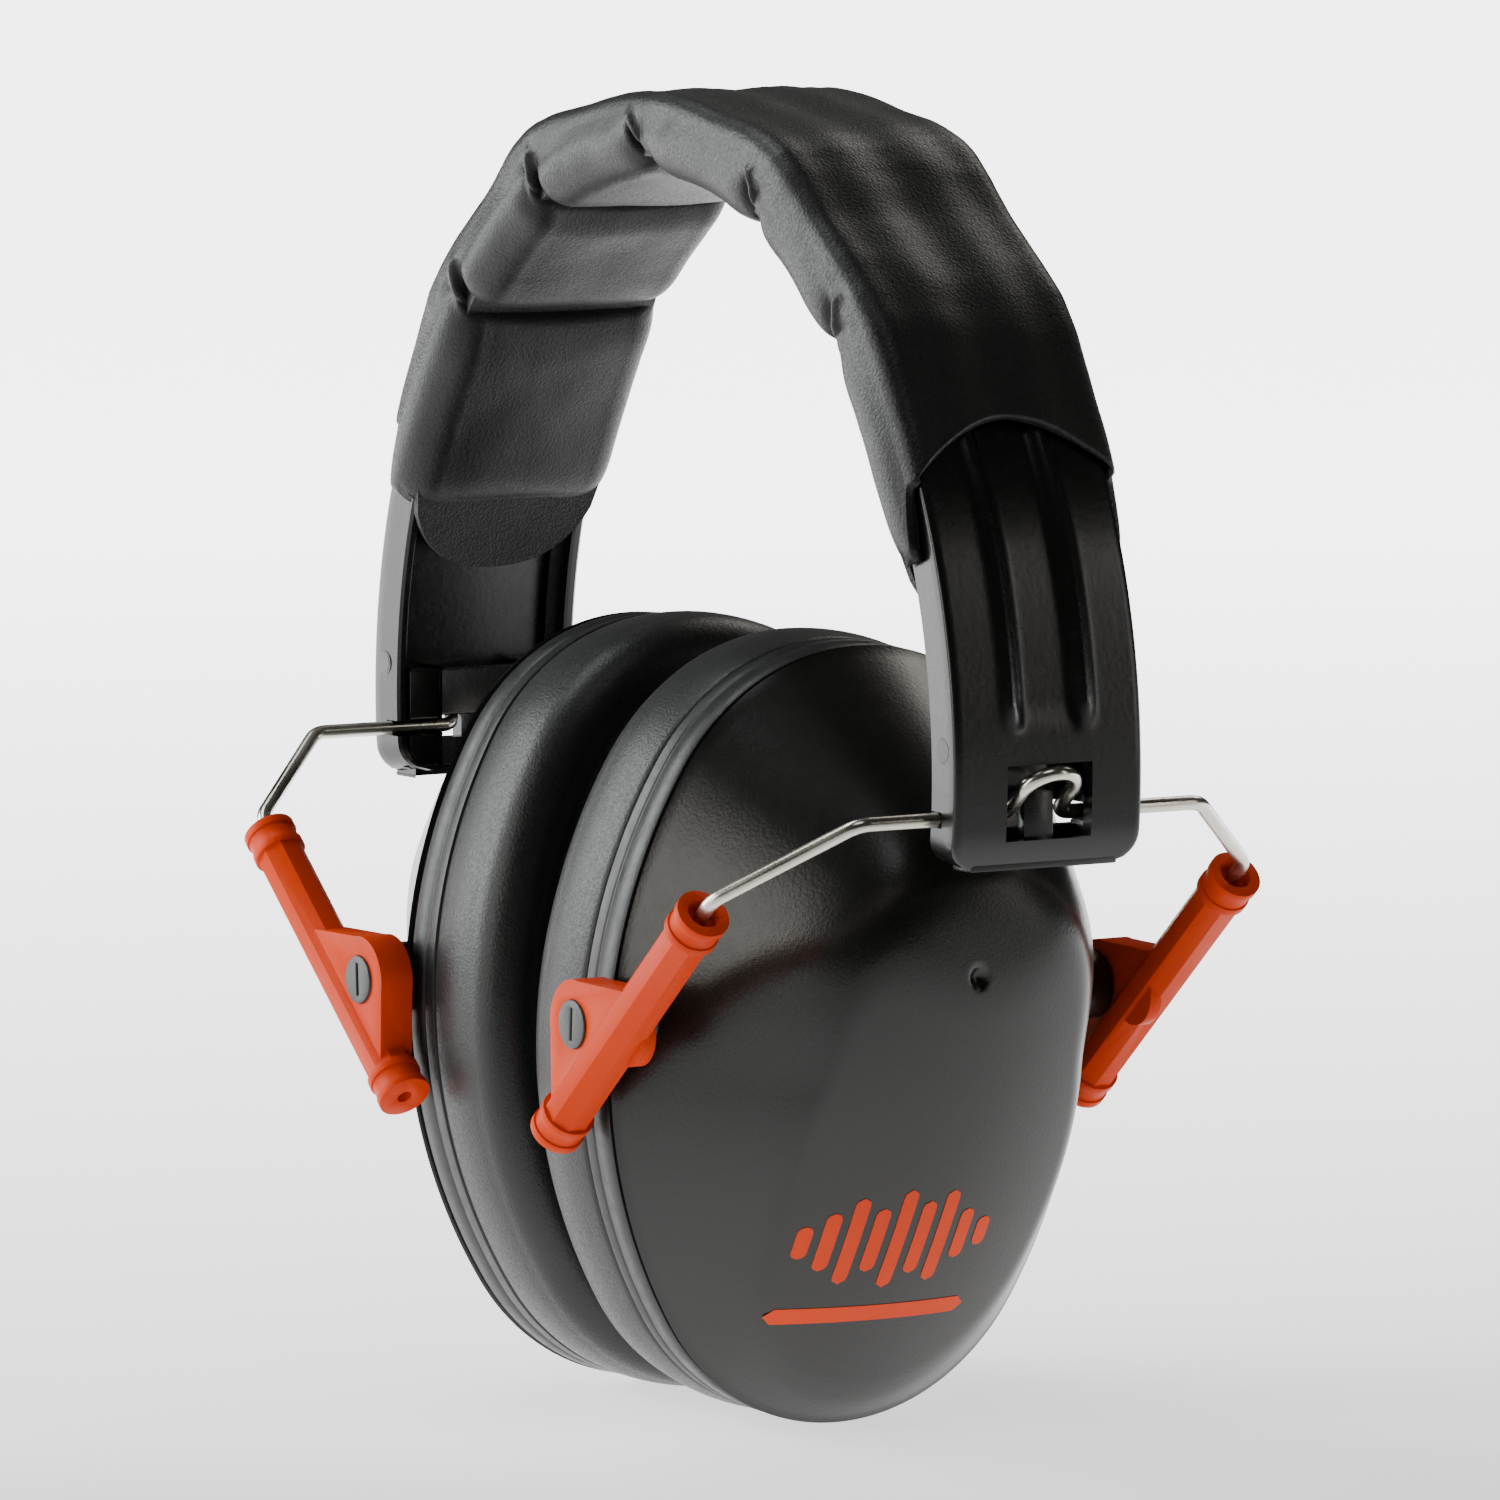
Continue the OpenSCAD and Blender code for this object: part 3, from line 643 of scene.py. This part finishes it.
def make_band():
    angles = []
    steps = 420
    for i in range(steps + 1):
        angles.append(-BAND_END + 2 * BAND_END * i / steps)
    corner = 4.2
    rings = []
    for a in angles:
        left = math.radians(BAND_END - abs(a)) * SIDE_R
        squeeze = corner - math.sqrt(max(0.0, corner ** 2 - (corner - left) ** 2)) \
            if left < corner else 0.0
        curl = 0.9 * max(0.0, 1 - left / 5.5) ** 2
        ring = []
        for y, d in band_section(a, squeeze):
            x, z = arch(a, d - curl)
            ring.append((x, y, z))
        rings.append(ring)
    count = len(rings[0])
    points = [p for ring in rings for p in ring]
    faces = ring_faces(len(rings), count, False)
    faces.append(tuple(range(count)))
    last = (len(rings) - 1) * count
    faces.append(tuple(last + k for k in reversed(range(count))))
    piece = mesh_piece("headband_arch", points, faces, "band", "headband", 40)
    cutters = []
    for side in SIDES.values():
        x0, x1 = sorted((side * (HINGE.x + 0.9), side * (HINGE.x + 9)))
        cutters.append(cutter((x0, -WINDOW_HALF, HINGE.z - 3), (x1, WINDOW_HALF, HINGE.z + 7)))
        x0, x1 = sorted((side * (HINGE.x - 4.5), side * (HINGE.x + 1.1)))
        cutters.append(cutter((x0, -20, HINGE.z - NOTCH_HALF), (x1, 20, HINGE.z + NOTCH_HALF)))
    for tool in cutters:
        cut = piece.modifiers.new("cut", "BOOLEAN")
        cut.object = tool
        cut.solver = "EXACT"
    applied(piece)
    for tool in cutters:
        bpy.data.objects.remove(tool)
    # end walls, catches inside the wires' kinks, walls behind the kinks, and bearing blocks
    work = bmesh.new()
    work.from_mesh(piece.data)
    for side in SIDES.values():
        x0, x1 = HINGE.x - 1.2, HINGE.x + 3.4
        block = (HINGE.x - 1.6, HINGE.x + 3.2)
        back = (HINGE.x - 1.6, HINGE.x - 0.2)
        near, far = BLOCK_Y
        off = (HINGE.z + BLOCK_OFF, HINGE.z - BLOCK_OFF)
        bottom, top = HINGE.z - BLOCK_LOW, HINGE.z + BLOCK_HIGH
        for low, high in (
                ((x0, -11.5, HINGE.z - 6.9), (x1, 11.5, HINGE.z - 5.2)),
                ((HINGE.x + 0.9, -2.7, HINGE.z - 6.2), (HINGE.x + 2.6, 2.0, HINGE.z + 3.4)),
                ((back[0], -BACK_HALF, HINGE.z + BACK_OFF), (back[1], BACK_HALF, top)),
                ((back[0], -BACK_HALF, bottom), (back[1], BACK_HALF, HINGE.z - BACK_OFF)),
                ((block[0], near, off[0]), (block[1], far, top)),
                ((block[0], -far, off[0]), (block[1], -near, top)),
                ((block[0], near, bottom), (block[1], far, off[1])),
                ((block[0], -far, bottom), (block[1], -near, off[1])),
        ):
            made = bmesh.ops.create_cube(work, size=1.0)["verts"]
            for vert in made:
                spot = [(low[i] + high[i]) / 2 + vert.co[i] * (high[i] - low[i]) for i in range(3)]
                vert.co = Vector((side * spot[0], spot[1], spot[2])) * MM
            edges = [e for e in work.edges if all(v in made for v in e.verts)]
            bmesh.ops.bevel(work, geom=edges, offset=0.35 * MM, segments=2, affect="EDGES",
                            profile=0.6)
        # ejector mark on the front and rear flanges
        for face_side in (-1, 1):
            for rim, depth in ((1.75, 0.12), (1.45, 0.22)):
                made = bmesh.ops.create_cone(work, cap_ends=True, segments=40, radius1=rim * MM,
                                             radius2=(rim - 0.12) * MM, depth=depth * MM)["verts"]
                for vert in made:
                    x, y, z = vert.co
                    vert.co = Vector((side * (HINGE.x + 1.6) * MM + x,
                                      face_side * (BAND_HALF - 0.12) * MM + z * face_side,
                                      (HINGE.z + 9.2) * MM + y))
    bmesh.ops.recalc_face_normals(work, faces=work.faces)
    for face in work.faces:
        face.smooth = True
    for edge in work.edges:
        edge.smooth = len(edge.link_faces) == 2 and edge.calc_face_angle(0) < math.radians(34)
    work.to_mesh(piece.data)
    work.free()
    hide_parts("headband_band")


make_band()

# ---------- wire yokes ----------

LEAN = math.radians(48.5)
WIRE_R = 1.0
LEG_Y = 42.3
HINGE_RUN = 27.0
BEND_R = 4.0
KINK_HALF = 4.0
KINK_OUT = 9.0
KINK_BEND = 2.0
LEG_END = 62.0


def fork_point(s, y, n, side):
    """Point of the fork's plane: s down the legs, n away from the pivot pins."""
    x = HINGE.x - s * math.sin(LEAN) + n * math.cos(LEAN)
    z = HINGE.z - s * math.cos(LEAN) - n * math.sin(LEAN)
    return (side * x, y, z)


def bend(s, y, r, a0, a1):
    steps = max(2, int(abs(a1 - a0) / 6))
    return [(s + r * math.cos(math.radians(a0 + (a1 - a0) * i / steps)),
             y + r * math.sin(math.radians(a0 + (a1 - a0) * i / steps))) for i in range(steps + 1)]


def wire_route():
    trim = BEND_R * math.tan(math.radians(22.5))
    bend_s = LEG_Y - HINGE_RUN
    half = (bend(KINK_HALF - KINK_OUT, 0, KINK_HALF, 180, 90)
            + bend(-KINK_BEND, KINK_HALF + KINK_BEND, KINK_BEND, -90, 0)
            + bend(BEND_R, HINGE_RUN - trim, BEND_R, 180, 135)
            + bend(bend_s + trim, LEG_Y - BEND_R, BEND_R, 135, 90)
            + [(LEG_END - 0.4, LEG_Y), (LEG_END, LEG_Y)])
    return [(s, -y) for s, y in reversed(half[1:])] + half


def make_wire(name, side):
    route = wire_route()
    sides = 24
    rings = []
    for i, (s, y) in enumerate(route):
        s0, y0 = route[max(i - 1, 0)]
        s1, y1 = route[min(i + 1, len(route) - 1)]
        length = math.hypot(s1 - s0, y1 - y0)
        ds, dy = (s1 - s0) / length, (y1 - y0) / length
        r = WIRE_R * (0.72 if i in (0, len(route) - 1) else 1.0)
        ring = []
        for k in range(sides):
            b = 2 * math.pi * k / sides
            ring.append(fork_point(s - dy * r * math.cos(b), y + ds * r * math.cos(b),
                                   r * math.sin(b), side))
        rings.append(ring)
    points = [p for ring in rings for p in ring]
    faces = ring_faces(len(rings), sides, False)
    last = (len(rings) - 1) * sides
    faces += [tuple(range(sides)), tuple(last + k for k in reversed(range(sides)))]
    piece = mesh_piece("wire_" + name, points, faces, "wire", "yoke_" + name, 50)
    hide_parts("wire_yoke_" + name)


for name, side in SIDES.items():
    make_wire(name, side)

# ---------- cups ----------

CUP_LEAN = math.radians(2.8)
CUP_DROP = 4.8
RIM_X = -1.2
PLATE_X = -8.7
CUSHION_T = 16.3
# the looks' cushion face stands this far behind the CAD cushion's
CUSHION_BACK = 0.6
OVAL_END_R = 32.0
OVAL_HALF_H = 53.4
OVAL_HALF_W = 38.0
SHELL_DEPTH = 33.0
DISC_TOP = (31.4, 4.0)
DISC_SLOPE = 0.5
DISC_BULGE = 4.0
DISC_HALF = (21.0, 31.0)
# length of the disc's slope for each millimetre up
DISC_STRETCH = 1.118
DOME_SOFT = 5.0
# how steeply the dome's sides rise, and how much more above the pins
DOME_SIDES = 1.76
DOME_FULLER = 0.6
DOME_FULLER_Z = (-8, 16)
DIMPLE = (-0.9, 8.3)
DIMPLE_R = 1.25
DIMPLE_DEEP = 1.1


def cup_point(x, y, z, side):
    """From the cup's own frame, with its origin on the pivot axis and x outwards."""
    return (side * (PIVOT.x + x * math.cos(CUP_LEAN) + z * math.sin(CUP_LEAN)), y,
            PIVOT.z - x * math.sin(CUP_LEAN) + z * math.cos(CUP_LEAN))


def oval(u, steps=44):
    """The cup's outline of four arcs, grown outwards by u, as (y, z) round its own middle."""
    high = OVAL_HALF_H - OVAL_END_R
    narrow = OVAL_HALF_W - OVAL_END_R
    centre = (high * high - narrow * narrow) / (2 * narrow)
    side_r = OVAL_HALF_W + centre
    turn = math.degrees(math.atan2(high, centre))
    arcs = ((-centre, 0, side_r, -turn, turn), (0, high, OVAL_END_R, turn, 180 - turn),
            (centre, 0, side_r, 180 - turn, 180 + turn),
            (0, -high, OVAL_END_R, 180 + turn, 360 - turn))
    points = []
    for y0, z0, r, a0, a1 in arcs:
        for i in range(steps):
            a = math.radians(a0 + (a1 - a0) * i / steps)
            points.append((y0 + (r + u) * math.cos(a), z0 + (r + u) * math.sin(a)))
    return points


def soft_min(a, b, k):
    """The lower of two heights, blended where they are within k of each other."""
    h = max(0.0, k - abs(a - b)) / k
    return min(a, b) - h * h * k / 4


def dome_height(q, depth, z):
    """Height of the bare dome over its rim: its sides and its top run softly into each other."""
    low, high = DOME_FULLER_Z
    upper = min(1.0, max(0.0, (z - low) / (high - low)))
    sides = (DOME_SIDES + DOME_FULLER * upper * upper * (3 - 2 * upper)) * depth * (1 - q)
    top = math.exp(-depth / DOME_SOFT)
    return DOME_SOFT * (math.log(1 + top) - math.log(math.exp(-sides / DOME_SOFT) + top))


def disc_x(y, z):
    """Height of the slightly crowned disc that slants down the shell's lower half."""
    down = (z - DISC_TOP[1] + DISC_HALF[1]) / DISC_HALF[1]
    across = y / DISC_HALF[0]
    return DISC_TOP[0] + DISC_SLOPE * (z - DISC_TOP[1]) + DISC_BULGE * (1 - across ** 2 - down ** 2)


def shell_x(y, z, q, inset=0.0):
    """Height of the shell over a point of the cup's face."""
    dome = RIM_X + dome_height(q, SHELL_DEPTH - inset, z)
    disc = disc_x(y, z) - inset * DISC_STRETCH
    x = soft_min(dome, disc, 1.0 if q < 0.9 else max(0.0, (1 - q) / 0.1) + 1e-6)
    if not inset:
        dimple = math.hypot(y - DIMPLE[0], z - DIMPLE[1])
        x -= DIMPLE_DEEP * math.exp(-(dimple / DIMPLE_R) ** 4)
    return x


def make_shell(name, side):
    count = 176
    rings = []
    shares = [1 - 0.985 * (i / 78) for i in range(79)]
    for inset, list_of in ((0.0, shares[::-1]), (2.5, shares)):
        for q in list_of:
            ring = []
            for y, z in oval(-inset):
                y, z = y * q, z * q - CUP_DROP
                x = shell_x(y, z, q, inset)
                if not inset and q == 1.0:
                    x = RIM_X + 0.25
                ring.append(cup_point(x, y, z, side))
            rings.append(ring)
        if not inset:
            rings.append([cup_point(RIM_X, y * 0.9925, z * 0.9925 - CUP_DROP, side)
                          for y, z in oval(0)])
    points = [p for ring in rings for p in ring]
    faces = ring_faces(len(rings), count, False)
    last = (len(rings) - 1) * count
    faces += [tuple(range(count)), tuple(last + k for k in reversed(range(count)))]
    # bosses that hold the pivot pins
    for end in (-1, 1):
        base = len(points)
        radius, sides = 4.8, 48
        stations = ((32.6, 1.0), (38.9, 1.0), (39.3, 0.92), (39.3, 0.44), (34.5, 0.44))
        for y, share in stations:
            for k in range(sides):
                b = 2 * math.pi * k / sides
                x = max(RIM_X + 0.3, radius * share * math.cos(b)) if share > 0.9 \
                    else radius * share * math.cos(b)
                points.append(cup_point(x, end * y, radius * share * math.sin(b), side))
        faces += [tuple(base + v for v in face)
                  for face in ring_faces(len(stations), sides, False)]
        faces.append(tuple(base + k for k in range(sides)))
        deep = base + (len(stations) - 1) * sides
        faces.append(tuple(deep + k for k in reversed(range(sides))))
    piece = mesh_piece("shell_" + name, points, faces, "shell", "cup_" + name, 50)
    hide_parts("cup_shell_" + name)


def make_ring(name, side, section, look, replaced, smooth=60.0, wave=None):
    """Turns a closed section of (u, x) round the cup's oval."""
    rings = []
    for index, (u, x) in enumerate(section):
        ring = []
        outline = oval(u)
        for k, (y, z) in enumerate(outline):
            push = wave(index, k / len(outline), y, z, x) if wave else (0.0, 0.0)
            reach = math.hypot(y, z)
            y, z = y * (1 + push[0] / reach), z * (1 + push[0] / reach)
            ring.append(cup_point(x + push[1], y, z - CUP_DROP, side))
        rings.append(ring)
    points = [p for ring in rings for p in ring]
    piece = mesh_piece(name, points, ring_faces(len(rings), len(rings[0]), True), look,
                       "cup_" + ("right" if side > 0 else "left"), smooth)
    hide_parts(*replaced)
    return piece


def plate_section():
    """Rim plate: a shallow groove under the shell, a thin bead, and the wall the cushion meets."""
    return [(-0.3, PLATE_X), (0.0, PLATE_X + 0.25), (0.05, -6.6), (-0.02, -6.45), (-0.12, -6.3),
            (-0.12, -6.1), (0.0, -5.95), (0.0, -2.6), (-0.25, RIM_X - 1.0), (-1.2, RIM_X - 0.9),
            (-1.25, RIM_X - 0.02), (-3.9, RIM_X - 0.02), (-4.0, RIM_X + 1.1), (-5.7, RIM_X + 1.1),
            (-5.8, RIM_X - 3.4), (-16.6, RIM_X - 3.5), (-16.9, RIM_X - 3.8), (-16.9, PLATE_X + 0.3),
            (-16.6, PLATE_X)]


def cushion_section():
    """Ear cushion: a nearly straight outer wall, a crowned face and a soft roll into the hole."""
    face = PLATE_X - CUSHION_T + CUSHION_BACK
    points = [(-0.55, PLATE_X - 0.02), (-0.12, PLATE_X - 0.35), (0.1, PLATE_X - 1.2)]
    for i in range(1, 7):
        t = i / 7
        points.append((0.1 + 0.35 * math.sin(math.pi * t),
                       PLATE_X - 1.2 - (CUSHION_T - 1.2 - 6.0) * t))
    for i in range(13):
        t = math.radians(90 * i / 12)
        points.append((0.1 - 6.2 * (1 - math.cos(t)), face + 6.0 - 6.0 * math.sin(t)))
    for i in range(1, 6):
        points.append((-6.1 - 2.9 * i / 6, face - 0.22 * math.sin(math.pi * i / 6)))
    for i in range(13):
        t = math.radians(90 * i / 12)
        points.append((-9.0 - 7.0 * math.sin(t), face + 7.0 - 7.0 * math.cos(t)))
    for i in range(1, 6):
        t = i / 6
        points.append((-16.0 + 0.5 * math.sin(math.pi * t), face + 7 + (CUSHION_T - 7.6) * t))
    points += [(-15.7, PLATE_X - 0.3), (-15.2, PLATE_X - 0.02)]
    return points


def cushion_wave(seed):
    """Small gathers that radiate from the hole, and a soft unevenness all over."""
    section = cushion_section()

    def wave(index, turn, y, z, x):
        u, _ = section[index]
        around = turn * 2 * math.pi
        where = Vector((math.cos(around) * 2.2, math.sin(around) * 2.2, u * 0.12 + seed))
        uneven = 0.22 * noise.noise(where)
        inner = min(1.0, max(0.0, (-u - 5.0) / 6.0))
        where = Vector((math.cos(around) * 15, math.sin(around) * 15, seed + u * 0.05))
        gather = 0.34 * noise.noise(where) * inner
        where = Vector((math.cos(around) * 34, math.sin(around) * 34, seed + u * 0.12))
        gather += 0.2 * noise.noise(where) * inner
        ends = 0.0 if index < 2 or index > len(section) - 3 else 1.0
        return (ends * (uneven * 0.5 - gather * 0.5), ends * (-uneven - gather))

    return wave


def make_print(name, side):
    """A generic row of rounded bars over a thin line, printed on the slanting disc."""
    points, faces = [], []
    heights = (4.8, 8.6, 12.8, 9.4, 14.6, 10.8, 13.6, 7.4, 4.3)
    middle_y, middle_z = -4.2, -29.0
    width, pitch = 2.15, 3.4
    shapes = []
    for i, height in enumerate(heights):
        y = middle_y + (i - (len(heights) - 1) / 2) * pitch
        shapes.append((y, middle_z, width, height))
    shapes.append((middle_y, middle_z - 11.2, 30.5, 2.3))
    for cy, cz, w, h in shapes:
        base = len(points)
        r = min(w, h) / 2
        # strips from bottom to top or from side to side, so that the print follows the disc
        count = 24
        grid = []
        for i in range(count + 1):
            share = i / count
            line = []
            for j in range(7):
                across = j / 6
                if w > h:
                    y = cy - w / 2 + w * share
                    inset = max(0.0, r - min(w * share, w * (1 - share)))
                    reach = math.sqrt(max(0.0, r * r - inset * inset))
                    z = cz - reach + 2 * reach * across
                else:
                    z = cz - h / 2 + h * share
                    inset = max(0.0, r - min(h * share, h * (1 - share)))
                    reach = math.sqrt(max(0.0, r * r - inset * inset))
                    y = cy - reach + 2 * reach * across
                line.append((y, z))
            grid.append(line)
        for line in grid:
            for y, z in line:
                points.append(cup_point(disc_x(y, z) + 0.06, y, z, side))
        for i in range(count):
            for j in range(6):
                a = base + i * 7 + j
                faces.append((a, a + 1, a + 8, a + 7))
    piece = mesh_piece("print_" + name, points, faces, "print", "cup_" + name, 60)
    thick = piece.modifiers.new("ink", "SOLIDIFY")
    thick.thickness = 0.05 * MM
    thick.offset = 0
    applied(piece)


for name, side in SIDES.items():
    make_shell(name, side)
    make_ring("rim_plate_" + name, side, plate_section(), "plate",
              ("cushion_plate_" + name,), 40)
    cushion = make_ring("cushion_" + name, side, cushion_section(), "cushion",
                        ("ear_cushion_" + name, "cushion_foam_" + name), 180,
                        cushion_wave(3.0 if side > 0 else 11.0))
    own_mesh(cushion)
    make_print(name, side)
    frame["nodes"]["cup_foam_" + name].data.materials.clear()
    frame["nodes"]["cup_foam_" + name].data.materials.append(LOOKS["foam"])
    for end in ("front", "rear"):
        bevelled_copy("slider_arm_%s_%s" % (name, end), "orange", 0.00028)
        bevelled_copy("pivot_pin_%s_%s" % (name, end), "pin", 0.00022)

# ---------- floor and light ----------


def make_floor():
    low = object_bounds()[0][2] - 0.0008
    mesh = bpy.data.meshes.new("floor")
    reach = 12.0
    mesh.from_pydata([(-reach, -reach, low), (reach, -reach, low), (reach, reach, low),
                      (-reach, reach, low)], [], [(0, 1, 2, 3)])
    material, nodes, links, shader = new_material("floor_paper_painted_glow")
    coords = nodes.new("ShaderNodeTexCoord")
    broad = texture(nodes, links, "ShaderNodeTexNoise", 3, coords, Detail=2.0)
    colour = tint(nodes, links, broad.outputs["Fac"], (0.92, 0.92, 0.92), (0.94, 0.94, 0.94))
    links.new(colour.outputs["Color"], shader.inputs["Base Color"])
    shader.inputs["Roughness"].default_value = 0.95
    shader.inputs["Specular IOR Level"].default_value = 0.1
    # painted glow: the floor gets an emission of its own, which lights it and the object though it is no lamp
    shader.inputs["Emission Color"].default_value = (1, 1, 1, 1)
    # painted glow: the floor's own emission makes it glow, brighter behind the object as the camera sees it and
    # calmer in front of it
    way = nodes.new("ShaderNodeVectorMath")
    way.operation = "DOT_PRODUCT"
    way.inputs[1].default_value = (-math.sin(AZIMUTH), math.cos(AZIMUTH), 0.0)
    links.new(coords.outputs["Object"], way.inputs[0])
    front = ramp(nodes, links, way.outputs["Value"], 0.05, 1.25, -0.2, -0.03)
    behind = ramp(nodes, links, way.outputs["Value"], 0.0, 3.6, 0.0, 1.5)
    glow = nodes.new("ShaderNodeMath")
    glow.operation = "ADD"
    links.new(front.outputs["Result"], glow.inputs[0])
    links.new(behind.outputs["Result"], glow.inputs[1])
    links.new(glow.outputs["Value"], shader.inputs["Emission Strength"])
    mesh.materials.append(material)
    floor = bpy.data.objects.new("floor", mesh)
    bpy.context.scene.collection.objects.link(floor)


def area_light(name, azimuth, elevation, distance, size, power, colour=(1, 1, 1)):
    data = bpy.data.lights.new(name, "AREA")
    data.shape = "RECTANGLE"
    data.size, data.size_y = size
    data.energy = power
    data.color = colour
    light = bpy.data.objects.new(name, data)
    a, e = math.radians(azimuth), math.radians(elevation)
    away = Vector((math.sin(a) * math.cos(e), -math.cos(a) * math.cos(e), math.sin(e)))
    light.location = TARGET + distance * away
    light.rotation_euler = away.to_track_quat("Z", "Y").to_euler()
    bpy.context.scene.collection.objects.link(light)


def make_light():
    world = bpy.data.worlds.new("studio")
    world.use_nodes = True
    shade = world.node_tree.nodes["Background"]
    shade.inputs["Color"].default_value = (1, 1, 1, 1)
    shade.inputs["Strength"].default_value = 0.03
    bpy.context.scene.world = world
    area_light("key", -44, 20, 1.5, (1.1, 1.0), 28, (0.96, 1.0, 1.0))
    area_light("over", -60, 66, 1.4, (1.0, 0.4), 6, (0.97, 1.0, 1.0))
    area_light("front", 2, 16, 1.4, (0.3, 0.9), 5, (1.0, 0.97, 0.9))
    area_light("side", 129, 12, 1.6, (0.12, 0.9), 1.3, (1.0, 0.96, 0.9))
    area_light("top", 76, 62, 1.4, (0.5, 0.5), 1.6)
    area_light("rim", 205, 40, 1.6, (0.8, 0.4), 4, (1.0, 0.95, 0.88))


make_floor()
make_light()
